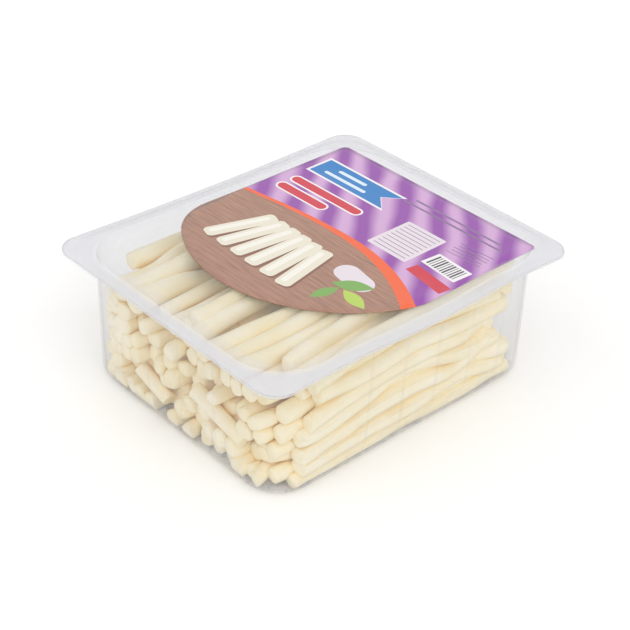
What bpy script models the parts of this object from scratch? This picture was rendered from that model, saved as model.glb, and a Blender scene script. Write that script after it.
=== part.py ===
"""A sealed clear tray of cheese sticks: tub, sealing film, printed label and the packed sticks.

Lengths are in metres. X is the tray's width, Y its length and the way the sticks lie, Z is up.
The origin is the middle of the base, on the surface that the tray stands on.
"""

import math
import random

import bmesh
import bpy
import numpy as np
from mathutils import Vector

MM = 0.001

# The tub
TRAY_WIDTH = 150 * MM
TRAY_LENGTH = 178 * MM
TRAY_HEIGHT = 65 * MM
FLANGE_OVERHANG = 6.5 * MM
FLANGE_CORNER = 10.8 * MM
LIP_WIDTH = 3.5 * MM
LIP_DROP = 0.5 * MM
FLANGE_SPREAD = 1.3
WALL = 0.8 * MM
WALL_SLOPE = math.tan(math.radians(2.2))
WALL_CORNER_TOP = 25 * MM
WALL_CORNER_BASE = 17.5 * MM
BASE_FILLET = 5.4 * MM
MOUTH_RADIUS = 1.6 * MM
CORNER_STEPS = 5

# The upright ribs pressed into the walls
RIB_DEPTH = 0.6 * MM
RIB_WIDTH = 12 * MM
RIB_EDGE = 1 * MM
RIB_FOOT = 10.5 * MM
RIB_TOP = 56 * MM
SIDE_RIBS = [(-41 + 20.5 * k) * MM for k in range(5)]
END_RIBS = [(-40.5 + 23 * k) * MM for k in range(4)]

# The film and the label on it
FILM = 0.3 * MM
GAP = 0.3 * MM
FILM_SAG = 0.8 * MM
SAG_BORDER = 0.34
EDGE_WAVE = 0.9 * MM
EDGE_WAVE_PITCH = 98 * MM
EDGE_DROOP = 1.5 * MM
LABEL_TOP = 76 * MM
LABEL_LEFT = -62 * MM
LABEL_RIGHT = 63.8 * MM
LABEL_CORNER = 3 * MM
LABEL_END = (Vector((-7 * MM, 22.4 * MM)), 73 * MM)
LABEL_SHOULDER = 30 * MM

# Where the lid's sheets are cut so that they can follow its shape
LID_PITCH = 11 * MM
LID_CUTS_Y = [LID_PITCH * k for k in range(-7, 8)]
LID_CUTS_X = [x * MM for x in (-68.5, -45.2, -20, 20, 45.2, 68.5)]
LID_SNAP = 0.8 * MM

# The sticks as they are packed and settle
COLUMNS = 16
LAYERS = 8
MISSING = 6
LOW_COLUMNS = 2
SIDE_COLUMN_PITCH = 8.3 * MM
LAYER_PITCH = 7.5 * MM
FIRST_LAYER = 5 * MM
JITTER = 3 * MM
STICK_RADII = (3.3 * MM, 4.5 * MM)
STICK_CLEARANCE = 0.4 * MM
FILLET_CLEARANCE = 1.2 * MM
HEAP_FLOOR = 1.3 * MM
HEAP_CEILING = 62.6 * MM
STATIONS = [(-84 + 28 * k) * MM for k in range(7)]
SHAKES = [spread * MM for spread in (2.4, 2.2, 2.0, 2.0, 2.2, 2.4, 2.6)]
FIRST_SETTLE = (60, 0.1 * MM)
STATION_SETTLE = (10, 0.05 * MM)
PUSHES = 3
PUSH_SHARE = 0.35
FLOW = 1.2 * MM
FLOW_PITCH = 22 * MM
DRIFT = 0.8
RISES = [rise * MM for rise in (-5, 2.5, 3, 2.5, 1, -2, -3)]
RISE_REACH = 22 * MM
ADDED = [(54 * MM, 35 * MM), (62 * MM, 35 * MM)]
ADDED_RADIUS = 4.1 * MM
THIN_FROM = 49 * MM
THINNING = 0.87
SIDE_SHAKE = 0.5
SEED = 5

# Where they end, and the two that lie across the front
FRONT_GAP = (0.5 * MM, 8 * MM)
FRONT_GAP_BIAS = 3
BACK_GAP = (4 * MM, 24 * MM)
BACK_GAP_BIAS = 1.6
FLOOR_END_CLEARANCE = 1.9 * MM
END_REACH = 0.9
CROSSING_REACH = 0.8
POCKETS = [((x * MM, z * MM), depth * MM) for x, z, depth in (
    (54, 47, 15), (61, 37, 8), (31, 39, 11), (-17, 42, 15), (14, 31, 10), (-16, 52, 9), (0, 59, 8))]
POCKET_REACH = 6 * MM
CROSSING_RADIUS = 3.6 * MM
CROSSING_Y = -75.4 * MM
CROSSINGS = [((8 * MM, 27 * MM), (42 * MM, 18.5 * MM)), ((-31 * MM, 17 * MM), (-9 * MM, 10.5 * MM))]

# The heap's solid: outer sticks and short stubs on a core
ON_FLOOR = 1.5
BY_WALL = 2
SECTION_SIDES = 6
STICK_SEGMENTS = 4
FLOOR_STICK_SEGMENTS = 3
CORE_INSET = 4.2 * MM
CORE_HALF_LENGTH = 56 * MM
CORE_CORNER = 10 * MM
CORE_CELLS = 12
CORE_UNDER_TOPS = 0.6 * MM
STUB_ROOT = 2 * MM
TIP = 1.6 * MM
TIP_SCALE = 0.68


def new_material(name, colour, roughness, alpha=1.0):
    material = bpy.data.materials.new(name)
    material.use_nodes = True
    shader = material.node_tree.nodes["Principled BSDF"]
    shader.inputs["Base Color"].default_value = (*colour, 1)
    shader.inputs["Roughness"].default_value = roughness
    shader.inputs["Metallic"].default_value = 0
    shader.inputs["Alpha"].default_value = alpha
    return material


def new_object(name, mesh, collection):
    obj = bpy.data.objects.new(name, mesh)
    collection.objects.link(obj)
    return obj


def loft(name, rings, cap_start=False, cap_end=False):
    """A mesh whose skin runs from ring to ring. Rings turn anticlockwise, seen from the last one."""
    bm = bmesh.new()
    loops = [[bm.verts.new(point) for point in ring] for ring in rings]
    count = len(rings[0])
    for low, high in zip(loops, loops[1:]):
        for i in range(count):
            j = (i + 1) % count
            bm.faces.new((low[i], low[j], high[j], high[i]))
    if cap_start:
        bm.faces.new(reversed(loops[0]))
    if cap_end:
        bm.faces.new(loops[-1])
    mesh = bpy.data.meshes.new(name)
    bm.to_mesh(mesh)
    bm.free()
    return mesh


def shade(mesh, degrees=35):
    mesh.shade_smooth()
    mesh.set_sharp_from_angle(angle=math.radians(degrees))


def lid_height(x, y):
    """How far the flange and what is sealed on it stand above the flat, as thin sheet warps."""
    across, along = x / (TRAY_WIDTH / 2), y / TRAY_LENGTH
    right, left = max(across, 0) ** 2, max(-across, 0) ** 2
    wave = -EDGE_WAVE * math.cos(2 * math.pi * y / EDGE_WAVE_PITCH) * right
    return wave - EDGE_DROOP * math.cos(math.pi * along) * left


def film_sag(x, y):
    """How far the film hangs in the mouth of the tub: it slopes down from the rim to a level middle."""
    across = abs(x) / (TRAY_WIDTH / 2 - FLANGE_OVERHANG)
    along = abs(y) / (TRAY_LENGTH / 2 - FLANGE_OVERHANG)
    slope = (1 - max(across, along)) / SAG_BORDER
    return -FILM_SAG * min(max(slope, 0), 1)


def rib_stations(starts):
    """Pairs of place and depth along a side that carries ribs."""
    places = []
    for start in starts:
        end = start + RIB_WIDTH
        places += [(start - RIB_EDGE, 0), (start, 1), (end, 1), (end + RIB_EDGE, 0)]
    return places


def tub_ring(half_width, half_length, corner, height, rib=0.0, spread=1.0):
    """A rounded rectangle with a point at each rib edge, anticlockwise from the front of the right side."""
    ring = []
    for turn in range(4):
        along_y = turn % 2 == 0
        reach, run = (half_width, half_length) if along_y else (half_length, half_width)
        places = rib_stations(SIDE_RIBS if along_y else END_RIBS)
        if turn in (1, 2):
            places = [(-place, depth) for place, depth in reversed(places)]
        angle = turn * math.pi / 2
        out = Vector((math.cos(angle), math.sin(angle), 0))
        on = Vector((-math.sin(angle), math.cos(angle), 0))
        for place, depth in places:
            ring.append(out * (reach + rib * depth) + on * place * spread)
        for step in range(CORNER_STEPS + 1):
            bend = math.pi / 2 * step / CORNER_STEPS
            ring.append(out * (reach - corner + corner * math.cos(bend))
                        + on * (run - corner + corner * math.sin(bend)))
    for point in ring:
        point.z = height
    return ring


def wall_size(height):
    """Half width, half length and corner radius of the tub's outer wall at a height."""
    down = TRAY_HEIGHT - height
    inset = FLANGE_OVERHANG + down * WALL_SLOPE
    corner = WALL_CORNER_TOP - (WALL_CORNER_TOP - WALL_CORNER_BASE) * down / TRAY_HEIGHT
    return TRAY_WIDTH / 2 - inset, TRAY_LENGTH / 2 - inset, corner


def wall_ring(height, rib=0.0, inset=0.0):
    half_width, half_length, corner = wall_size(height)
    return tub_ring(half_width - inset, half_length - inset, corner - inset, height, rib)


def flange_ring(inset, height):
    """A ring of the flange, this far in from its outer edge and warped as the sheet is."""
    ring = tub_ring(TRAY_WIDTH / 2 - inset, TRAY_LENGTH / 2 - inset, FLANGE_CORNER + inset, height,
                    spread=FLANGE_SPREAD)
    for point in ring:
        point.z += lid_height(point.x, point.y)
    return ring


def make_tray(collection, material):
    """The thermoformed tub: base, fillet, ribbed walls, mouth, sealing land and outer lip."""
    under = TRAY_HEIGHT - WALL
    fillet_side = BASE_FILLET * (1 - math.sin(math.radians(45)))
    rings = [
        wall_ring(BASE_FILLET, inset=BASE_FILLET),
        wall_ring(BASE_FILLET, inset=fillet_side),
        wall_ring(BASE_FILLET),
        wall_ring(RIB_FOOT, rib=RIB_DEPTH),
        wall_ring(RIB_TOP, rib=RIB_DEPTH),
        wall_ring(under - MOUTH_RADIUS),
    ]
    for ring, height in zip(rings, (0, fillet_side)):
        for point in ring:
            point.z = height
    rings.append(flange_ring(FLANGE_OVERHANG - MOUTH_RADIUS, under))
    rings.append(flange_ring(LIP_WIDTH, under))
    rings.append(flange_ring(LIP_WIDTH - LIP_DROP, under - LIP_DROP))
    rings.append(flange_ring(0, under - LIP_DROP))
    mesh = loft("tray", rings, cap_start=True)
    shade(mesh)
    tray = new_object("tray", mesh, collection)
    tray.data.materials.append(material)
    shell = tray.modifiers.new("Sheet", "SOLIDIFY")
    shell.thickness = WALL
    shell.offset = -1
    shell.use_even_offset = True
    return tray


def sheet_on_lid(name, outline, height, collection, material):
    """A thin sheet inside an outline, cut along the lid's grid and laid on the lid's shape."""
    bm = bmesh.new()
    bm.faces.new([bm.verts.new((p.x, p.y, 0)) for p in outline])
    for way, cuts in (((1, 0, 0), LID_CUTS_X), ((0, 1, 0), LID_CUTS_Y)):
        for cut in cuts:
            bmesh.ops.bisect_plane(bm, geom=bm.verts[:] + bm.edges[:] + bm.faces[:], dist=LID_SNAP,
                                   plane_co=[cut * axis for axis in way], plane_no=way)
    bmesh.ops.triangulate(bm, faces=bm.faces[:])
    for vert in bm.verts:
        vert.co.z = height + lid_height(vert.co.x, vert.co.y) + film_sag(vert.co.x, vert.co.y)
    mesh = bpy.data.meshes.new(name)
    bm.to_mesh(mesh)
    bm.free()
    shade(mesh)
    sheet = new_object(name, mesh, collection)
    sheet.data.materials.append(material)
    body = sheet.modifiers.new("Thickness", "SOLIDIFY")
    body.thickness = FILM
    body.offset = 1
    return sheet


def make_film(collection, material):
    """The clear film, sealed round the flange and cut flush with it."""
    outline = rounded_outline(TRAY_WIDTH / 2 - GAP, TRAY_LENGTH / 2 - GAP, FLANGE_CORNER)
    return sheet_on_lid("film", outline, TRAY_HEIGHT + GAP, collection, material)


def arc(centre, radius, start, end, steps):
    angles = [math.radians(start + (end - start) * k / steps) for k in range(steps + 1)]
    return [centre + Vector((math.cos(a), math.sin(a))) * radius for a in angles]


def rounded_outline(half_width, half_length, corner, steps=4):
    """A rectangle with round corners, anticlockwise."""
    points = []
    for quarter, (x, y) in enumerate(((1, 1), (-1, 1), (-1, -1), (1, -1))):
        middle = Vector((x * (half_width - corner), y * (half_length - corner)))
        points += arc(middle, corner, 90 * quarter, 90 * quarter + 90, steps)
    return points


def label_outline():
    """Square corners at the back, straight sides and a round end towards the front, anticlockwise."""
    end, radius = LABEL_END
    shoulder_x = LABEL_LEFT + LABEL_SHOULDER
    reach = radius - LABEL_SHOULDER
    shoulder = Vector((shoulder_x, end.y - math.sqrt(reach ** 2 - (shoulder_x - end.x) ** 2)))
    turn = math.degrees(math.atan2(shoulder.y - end.y, shoulder.x - end.x))
    start = -math.degrees(math.acos((LABEL_RIGHT - end.x) / radius))
    corner_y = LABEL_TOP - LABEL_CORNER
    return (
        arc(Vector((LABEL_RIGHT - LABEL_CORNER, corner_y)), LABEL_CORNER, 0, 90, 3)
        + arc(Vector((LABEL_LEFT + LABEL_CORNER, corner_y)), LABEL_CORNER, 90, 180, 3)
        + arc(shoulder, LABEL_SHOULDER, -180, turn, 5)
        + arc(end, radius, turn, start, 13)[1:]
    )


def make_label(collection, material):
    return sheet_on_lid("label", label_outline(), TRAY_HEIGHT + 2 * GAP + FILM, collection, material)


def inner_side(height):
    """Where the inside of a long wall is at a height."""
    return wall_size(height)[0] - WALL


def inner_end(across, height):
    """Where the inside of an end wall, or of the corner beside it, is at this place across the tray."""
    half_width, half_length, corner = (size - WALL for size in wall_size(height))
    beyond = min(max(abs(across) - (half_width - corner), 0), corner)
    return half_length - corner + math.sqrt(corner ** 2 - beyond ** 2)


def settle(places, radii, rounds, sink):
    """Pushes overlapping sections apart and keeps them in the tub as they sink."""
    floor_side = inner_side(0)
    slope = (inner_side(TRAY_HEIGHT) - floor_side) / TRAY_HEIGHT
    for _ in range(rounds):
        places[:, 1] -= sink
        for _ in range(PUSHES):
            gaps = places[:, None] - places[None]
            apart = np.sqrt((gaps ** 2).sum(2)) + 1e-9
            push = np.clip(radii[:, None] + radii[None] - apart, 0, None)
            np.fill_diagonal(push, 0)
            places += PUSH_SHARE * (gaps / apart[..., None] * push[..., None]).sum(1)
            room = floor_side + slope * places[:, 1] - STICK_CLEARANCE - radii
            room -= np.where(places[:, 1] < FIRST_LAYER + radii / 2, FILLET_CLEARANCE, 0)
            places[:, 0] = np.clip(places[:, 0], -room, room)
            places[:, 1] = np.clip(places[:, 1], HEAP_FLOOR + radii, HEAP_CEILING - radii)
    return places


def by_right_wall(places):
    """1 for a stick at the right wall, falling to 0 away from it."""
    return np.exp(-((inner_side(0) - places[:, 0]) / RISE_REACH) ** 2)


def pack_sticks():
    """Centres of every stick's section at each station, and the radii.

    Two columns on the left lack their top stick. By the right wall the sticks are thinner, so one more
    fits in each column, and they cross each other more, rising in the middle of their length.
    """
    draw = random.Random(SEED)
    places, radii = [], []
    for layer in range(LAYERS):
        for column in range(COLUMNS):
            if layer == LAYERS - 1 and column < LOW_COLUMNS:
                continue
            x = (column - (COLUMNS - 1) / 2) * SIDE_COLUMN_PITCH
            z = FIRST_LAYER + LAYER_PITCH * layer
            places.append((x + draw.uniform(-JITTER, JITTER), z + draw.uniform(-JITTER, JITTER)))
            radii.append(draw.uniform(*STICK_RADII))
    kept = list(range(len(places)))
    for _ in range(MISSING):
        kept.remove(draw.choice(kept[COLUMNS:]))
    places = np.array([places[index] for index in kept] + ADDED)
    radii = np.array([radii[index] for index in kept] + [ADDED_RADIUS] * len(ADDED))
    radii[places[:, 0] > THIN_FROM] *= THINNING
    places = settle(places, radii, *FIRST_SETTLE)
    stations = []
    for shake, rise in zip(SHAKES, RISES):
        phase = np.array([draw.uniform(0, 2 * math.pi) for _ in range(2)])
        shaken = np.array([(draw.gauss(0, shake), draw.gauss(0, shake)) for _ in radii])
        flow = np.sin(places / FLOW_PITCH + phase)[:, ::-1] * FLOW
        near = by_right_wall(places)
        moved = places + shaken * (1 + SIDE_SHAKE * near[:, None]) + flow
        moved[:, 1] += rise * near * np.sin(math.pi * places[:, 1] / TRAY_HEIGHT)
        stations.append(settle(moved, radii, *STATION_SETTLE))
        places += DRIFT * (stations[-1] - places)
    return np.array(stations), radii


def is_crossed(x, z, radius):
    """True if a section here would meet one of the sticks that lie across the front."""
    for (x0, z0), (x1, z1) in CROSSINGS:
        share = ((x - x0) * (x1 - x0) + (z - z0) * (z1 - z0)) / ((x1 - x0) ** 2 + (z1 - z0) ** 2)
        share = min(max(share, 0), 1)
        apart = math.hypot(x - x0 - share * (x1 - x0), z - z0 - share * (z1 - z0))
        if apart < CROSSING_RADIUS + CROSSING_REACH * radius:
            return True
    return False


def pocket_depth(x, z):
    """How far short of the front wall a stick stops here, to leave one of the holes in the front face."""
    return max(depth if math.dist((x, z), middle) < POCKET_REACH else 0 for middle, depth in POCKETS)


def stick_ends(stations, radii):
    """Where each stick starts and stops along Y. Most reach the front wall, and some stop well short."""
    draw = random.Random(SEED + 1)
    ends = []
    both = ((0, 1, FRONT_GAP, FRONT_GAP_BIAS), (-1, -2, BACK_GAP, BACK_GAP_BIAS))
    for index, radius in enumerate(radii):
        spans = []
        for last, before, (low, high), bias in both:
            reach = END_REACH * radius
            limit = min(inner_end(abs(x) + reach, z) for x, z in stations[[last, before], index])
            x, z = stations[last, index]
            if z < FIRST_LAYER + radius:
                limit -= FLOOR_END_CLEARANCE
            span = limit - low - (high - low) * draw.random() ** bias
            if last == 0:
                span = min(span, limit - pocket_depth(x, z))
            if last == 0 and is_crossed(x, z, radius):
                span = min(span, abs(CROSSING_Y) - CROSSING_REACH * CROSSING_RADIUS)
            spans.append(span)
        ends.append((-spans[0], spans[1]))
    return ends


def line_point(line, y):
    """The centre of a stick at this place along the tray."""
    x = np.interp(y, STATIONS, line[:, 0])
    z = np.interp(y, STATIONS, line[:, 1])
    return Vector((float(x), y, float(z)))


def stick_mesh(line, radius, start, end, turn, segments, tips):
    """A stick with few sides, narrowing to a blunt tip at the ends in tips (-1 front, 1 back)."""
    stops = [start + (end - start) * k / segments for k in range(segments + 1)]
    scales = [1.0] * len(stops)
    if -1 in tips:
        stops[:1] = [start, start + TIP]
        scales[:1] = [TIP_SCALE, 1.0]
    if 1 in tips:
        stops[-1:] = [end - TIP, end]
        scales[-1:] = [1.0, TIP_SCALE]
    rings = []
    for y, scale in zip(stops, scales):
        centre = line_point(line, y)
        ring = []
        for side in range(SECTION_SIDES):
            angle = turn - 2 * math.pi * side / SECTION_SIDES
            reach = radius * scale
            ring.append(centre + Vector((math.cos(angle) * reach, 0, math.sin(angle) * reach)))
        rings.append(ring)
    return loft("stick", rings, cap_start=True, cap_end=True)


def crossing_mesh(start, end):
    """A stick that has slipped down and lies across the front of the others."""
    (x0, z0), (x1, z1) = start, end
    along = Vector((x1 - x0, 0, z1 - z0))
    aside = Vector((0, 1, 0))
    above = along.normalized().cross(aside)
    rings = []
    angles = [-2 * math.pi * side / SECTION_SIDES for side in range(SECTION_SIDES)]
    section = [(aside * math.cos(a) - above * math.sin(a)) * CROSSING_RADIUS for a in angles]
    for share in (0, 1):
        centre = Vector((x0, CROSSING_Y, z0)) + along * share
        rings.append([centre + point for point in section])
    return loft("crossing", rings, cap_start=True, cap_end=True)


def is_on_floor(z, radius):
    return z < HEAP_FLOOR + ON_FLOOR * radius


def is_by_wall(x, z, radius):
    return abs(x) > inner_side(z) - BY_WALL * radius


def is_outer(index, places, radii):
    """True if a stick shows from above, from a long side or from below."""
    x, z = places[index]
    radius = radii[index]
    if is_on_floor(z, radius) or is_by_wall(x, z, radius):
        return True
    above = places[(places[:, 1] > z + radius / 2)]
    return not (np.abs(above[:, 0] - x) < radius).any()


def make_core(top_line, collection):
    """The plain block inside the heap, its top following the sticks that lie on it."""
    bm = bmesh.new()
    bmesh.ops.create_grid(bm, x_segments=CORE_CELLS, y_segments=2, size=1)
    width = inner_side(TRAY_HEIGHT / 2) - CORE_INSET
    for vert in bm.verts:
        vert.co.x *= width
        vert.co.y *= CORE_HALF_LENGTH
        vert.co.z = float(np.interp(vert.co.x, *top_line))
    skirt = bmesh.ops.extrude_face_region(bm, geom=bm.faces[:])
    for vert in (item for item in skirt["geom"] if isinstance(item, bmesh.types.BMVert)):
        vert.co.z = HEAP_FLOOR + CORE_INSET
    corners = [
        edge for edge in bm.edges
        if abs(edge.verts[0].co.z - edge.verts[1].co.z) > CORE_CORNER
        and all(abs(abs(v.co.y) - CORE_HALF_LENGTH) < MM for v in edge.verts)
        and all(abs(abs(v.co.x) - width) < MM for v in edge.verts)
    ]
    bmesh.ops.bevel(bm, geom=corners, offset=CORE_CORNER, segments=2, profile=0.5, affect="EDGES")
    bmesh.ops.recalc_face_normals(bm, faces=bm.faces[:])
    mesh = bpy.data.meshes.new("cheese_sticks")
    bm.to_mesh(mesh)
    bm.free()
    return new_object("cheese_sticks", mesh, collection)


def keep_largest_body(mesh):
    """Fills sealed hollows and drops loose scraps: only the outer skin of the heap stays."""
    bm = bmesh.new()
    bm.from_mesh(mesh)
    left, bodies = set(bm.verts), []
    while left:
        grown, body = [left.pop()], []
        while grown:
            vert = grown.pop()
            body.append(vert)
            for edge in vert.link_edges:
                other = edge.other_vert(vert)
                if other in left:
                    left.remove(other)
                    grown.append(other)
        bodies.append(body)
    bodies.sort(key=len)
    for body in bodies[:-1]:
        bmesh.ops.delete(bm, geom=body, context="VERTS")
    bm.to_mesh(mesh)
    bm.free()


def fuse(core, pieces):
    """Joins a collection of pieces to the core as one body, and removes the collection."""
    join = core.modifiers.new("Heap", "BOOLEAN")
    join.operation = "UNION"
    join.operand_type = "COLLECTION"
    join.collection = pieces
    join.solver = "MANIFOLD"
    graph = bpy.context.evaluated_depsgraph_get()
    fused = bpy.data.meshes.new_from_object(core.evaluated_get(graph))
    core.modifiers.clear()
    keep_largest_body(fused)
    core.data = fused
    for obj in list(pieces.objects):
        bpy.data.objects.remove(obj)
    bpy.data.collections.remove(pieces)


def make_sticks(collection, material):
    """The packed sticks: a core with the outer sticks and every showing end fused on."""
    stations, radii = pack_sticks()
    ends = stick_ends(stations, radii)
    middle = stations[len(STATIONS) // 2]
    outer = [any(is_outer(i, places, radii) for places in stations[2:-2]) for i in range(len(radii))]
    tops = sorted((x, z) for i, (x, z) in enumerate(middle) if is_outer(i, middle, radii)
                  and z > TRAY_HEIGHT / 2 and not is_by_wall(x, z, radii[i]))
    top_line = ([x for x, z in tops], [z - CORE_UNDER_TOPS for x, z in tops])
    core = make_core(top_line, collection)
    core.data.materials.append(material)
    draw = random.Random(SEED + 2)
    pieces = bpy.data.collections.new("stick pieces")
    bpy.context.scene.collection.children.link(pieces)
    for index, radius in enumerate(radii):
        line = stations[:, index]
        start, end = ends[index]
        turn = draw.uniform(0, math.pi / 3)
        if outer[index]:
            on_floor = is_on_floor(middle[index][1], radius)
            segments = FLOOR_STICK_SEGMENTS if on_floor else STICK_SEGMENTS
            new_object("stick", stick_mesh(line, radius, start, end, turn, segments, (-1, 1)), pieces)
            continue
        root = CORE_HALF_LENGTH - STUB_ROOT
        if start < -root:
            new_object("stub", stick_mesh(line, radius, start, -root, turn, 1, ()), pieces)
        if end > root:
            new_object("stub", stick_mesh(line, radius, root, end, turn, 1, ()), pieces)
    for start, end in CROSSINGS:
        new_object("crossing", crossing_mesh(start, end), pieces)
    fuse(core, pieces)
    shade(core.data)
    return core


def main():
    for obj in list(bpy.data.objects):
        bpy.data.objects.remove(obj)
    collection = bpy.data.collections.new("cheese stick tray")
    bpy.context.scene.collection.children.link(collection)
    clear = new_material("clear plastic", (0.80, 0.81, 0.85), 0.08, 0.3)
    sealing = new_material("clear film", (0.85, 0.86, 0.90), 0.08, 0.25)
    print_ink = new_material("printed label", (0.33, 0.13, 0.42), 0.3)
    cheese = new_material("cheese", (0.88, 0.80, 0.58), 0.45)
    make_tray(collection, clear)
    make_film(collection, sealing)
    make_label(collection, print_ink)
    make_sticks(collection, cheese)


main()
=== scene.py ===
"""A sealed clear tray of cheese sticks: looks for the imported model, laid out as a Blender add-on.

Lengths are in metres. X is the tray's width, Y its length and the way the sticks lie, Z is up.
"""

import math
import random

import bmesh
import bpy
import numpy as np
from mathutils import Matrix, Vector
from mathutils.geometry import delaunay_2d_cdt


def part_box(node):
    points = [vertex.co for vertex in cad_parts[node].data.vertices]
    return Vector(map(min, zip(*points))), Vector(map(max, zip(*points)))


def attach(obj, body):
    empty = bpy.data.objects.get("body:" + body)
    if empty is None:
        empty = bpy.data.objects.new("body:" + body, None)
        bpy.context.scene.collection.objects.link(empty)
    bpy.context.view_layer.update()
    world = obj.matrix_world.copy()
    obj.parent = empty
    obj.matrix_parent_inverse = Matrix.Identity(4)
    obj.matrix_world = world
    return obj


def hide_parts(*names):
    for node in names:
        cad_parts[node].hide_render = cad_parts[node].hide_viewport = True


bl_info = {
    "name": "Cheese stick pack",
    "version": (1, 0, 0),
    "blender": (4, 5, 0),
    "location": "View3D > Sidebar > Cheese pack",
    "description": "Models a clear tray of cheese sticks with its film and printed label",
    "category": "Add Mesh",
}

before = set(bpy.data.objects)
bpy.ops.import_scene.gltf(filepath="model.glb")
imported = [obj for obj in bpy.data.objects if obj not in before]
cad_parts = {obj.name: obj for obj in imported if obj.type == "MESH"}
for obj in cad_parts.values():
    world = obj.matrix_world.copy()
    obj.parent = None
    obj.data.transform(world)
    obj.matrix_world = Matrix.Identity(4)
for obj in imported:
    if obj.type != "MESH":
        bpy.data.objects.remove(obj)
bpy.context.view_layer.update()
TRAY_LOW, TRAY_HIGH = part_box("tray")

MM = 0.001
CLOSE = 1e-6  # places nearer than this are one place

# The tub, as in the solids
TRAY_WIDTH = round(TRAY_HIGH.x - TRAY_LOW.x, 3)
TRAY_LENGTH = round(TRAY_HIGH.y - TRAY_LOW.y, 3)
TRAY_HEIGHT = 65 * MM
FLANGE_OVERHANG = 6.5 * MM
FLANGE_CORNER = 10.8 * MM
LIP_WIDTH = 3.5 * MM
LIP_DROP = 0.5 * MM
WALL = 0.8 * MM
WALL_SLOPE = math.tan(math.radians(2.2))
WALL_CORNER_TOP = 25 * MM
WALL_CORNER_BASE = 17.5 * MM
BASE_FILLET = 5.4 * MM
MOUTH_RADIUS = 1.6 * MM
RIB_DEPTH = 0.6 * MM
RIB_WIDTH = 12 * MM
RIB_EDGE = 1 * MM
RIB_FOOT = 10.5 * MM
RIB_TOP = 56 * MM
RIB_RUNOUT = 1.6 * MM
SIDE_RIBS = [(-41 + 20.5 * k) * MM for k in range(5)]
END_RIBS = [(-40.5 + 23 * k) * MM for k in range(4)]
SIDE_RIBBED = 55 * MM
END_RIBBED = 42.5 * MM
SIDE_STEPS = 138
END_STEPS = 106
PLAIN_STEPS = 5
CORNER_STEPS = 14
BASE_RINGS = (0.5, 0.8, 0.94, 1.0)
FILLET_STEPS = 8
RUNOUT_BELOW = (0.0, 0.35, 0.7, 1.0)
WALL_STEPS = 6
RUNOUT_ABOVE = (0.65, 0.3, 0.0)
MOUTH_STEPS = 5

# The flange's rings and the film's on it, as places in from the edge and drops below the flat
FLANGE_PROFILE = [
    (LIP_WIDTH + 0.6 * MM, 0), (LIP_WIDTH + 0.15 * MM, 0.06 * MM), (LIP_WIDTH - 0.15 * MM, 0.4 * MM),
    (LIP_WIDTH - 0.5 * MM, LIP_DROP), (1.2 * MM, LIP_DROP), (0.35 * MM, LIP_DROP), (0.0, LIP_DROP)]
FILM_PROFILE = [
    (0.05 * MM, LIP_DROP), (0.9 * MM, LIP_DROP), (LIP_WIDTH - 0.5 * MM, LIP_DROP),
    (LIP_WIDTH + 0.2 * MM, 0)]

# The lid: how the thin sheet warps and sags
FILM_TOP = 0.6 * MM
FILM_BODY = 0.45 * MM
FILM_RINGS = 18
FILM_RING_SHARE = 0.055
FILM_SAG = 0.8 * MM
SAG_BORDER = 0.34
EDGE_WAVE = 0.9 * MM
EDGE_WAVE_PITCH = 98 * MM
EDGE_DROOP = 1.5 * MM

# Each clear sheet: the light it lets through seen square on and edge on, its haze and its roughness
TUB_SHEET = ((0.972, 0.973, 0.977), (0.9, 0.9, 0.91), 0.07, 0.07)
FLANGE_SHEET = ((0.97, 0.971, 0.975), (0.8, 0.8, 0.82), 0.38, 0.25)
FILM_SHEET = ((0.97, 0.971, 0.976), (0.8, 0.8, 0.82), 0.07, 0.12)
SEALED_SHEET = ((0.97, 0.971, 0.976), (0.8, 0.8, 0.82), 0.38, 0.25)

# How a sheet greys and hazes as it turns away, and its haze low down and at the rim
EDGE_TINT_FROM = 0.7
GRAZING_POWER = 5.0
GRAZING_HAZE = 0.6
WET_BELOW = 7 * MM
WET_SPOT = 5 * MM
WET_NOISE = (0.42, 0.66)
WET_HAZE = 0.3
RIM_HAZE_WIDTH = 8 * MM
RIM_HAZE = 0.2

# The cheese's fibres, its uneven colour, and the amber shade painted into its colour deep in the gaps
FIBRE_WIDTH = 1.11 * MM
FIBRE_LENGTH = 16.7 * MM
FIBRE_DEPTH = 0.2 * MM
CLOUD_SIZE = 14.3 * MM
CLOUD_WARM = (0.985, 0.955, 0.86)
CLOUD_PALE = (1.01, 1.015, 1.05)
CLOUD_NOISE = (0.35, 0.68)
PAINTED_SHADE_REACH = 6 * MM
PAINTED_GAP_SHADE = [(0.05, (0.98, 0.86, 0.58)), (0.35, (1.0, 0.98, 0.90)), (0.65, (1.0, 1.0, 1.0))]

# The label
LABEL_RISE = 1.05 * MM
LABEL_BODY = 0.3 * MM
LABEL_TOP = 76 * MM
LABEL_LEFT = -62 * MM
LABEL_RIGHT = 63.8 * MM
LABEL_CORNER = 3 * MM
LABEL_END = (Vector((-7 * MM, 22.4 * MM)), 73 * MM)  # centre and radius of the round front end
LABEL_SHOULDER = 30 * MM
LABEL_GRID = 4 * MM
LEAST_ROUNDING = 0.05 * MM
BAND_PITCH = 17 * MM
BAND_TURN = -38
WAVE_SCALE = 0.314  # bands of a wave texture at scale 1 are this many metres apart
STREAK_WIDTH = 1.11 * MM
STREAK_LENGTH = 16.7 * MM
STREAK_TURN = 12
STREAK_SHADES = (0.72, 1.25)
PRINT_BLEED = 2 * MM
BOARD_FRONT = -80 * MM
SWEEP_STEPS = 40

# The orange band: its peak, how far it runs and falls on the left and on the right, and its width
SWEEP_PEAK = (-8 * MM, 14.5 * MM)
SWEEP_RUNS = (54 * MM, 70 * MM)
SWEEP_FALLS = (5 * MM, 22 * MM)
SWEEP_BENDS = (2, 2.4)
SWEEP_WIDTHS = (2.2 * MM, 8.4 * MM)

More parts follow.
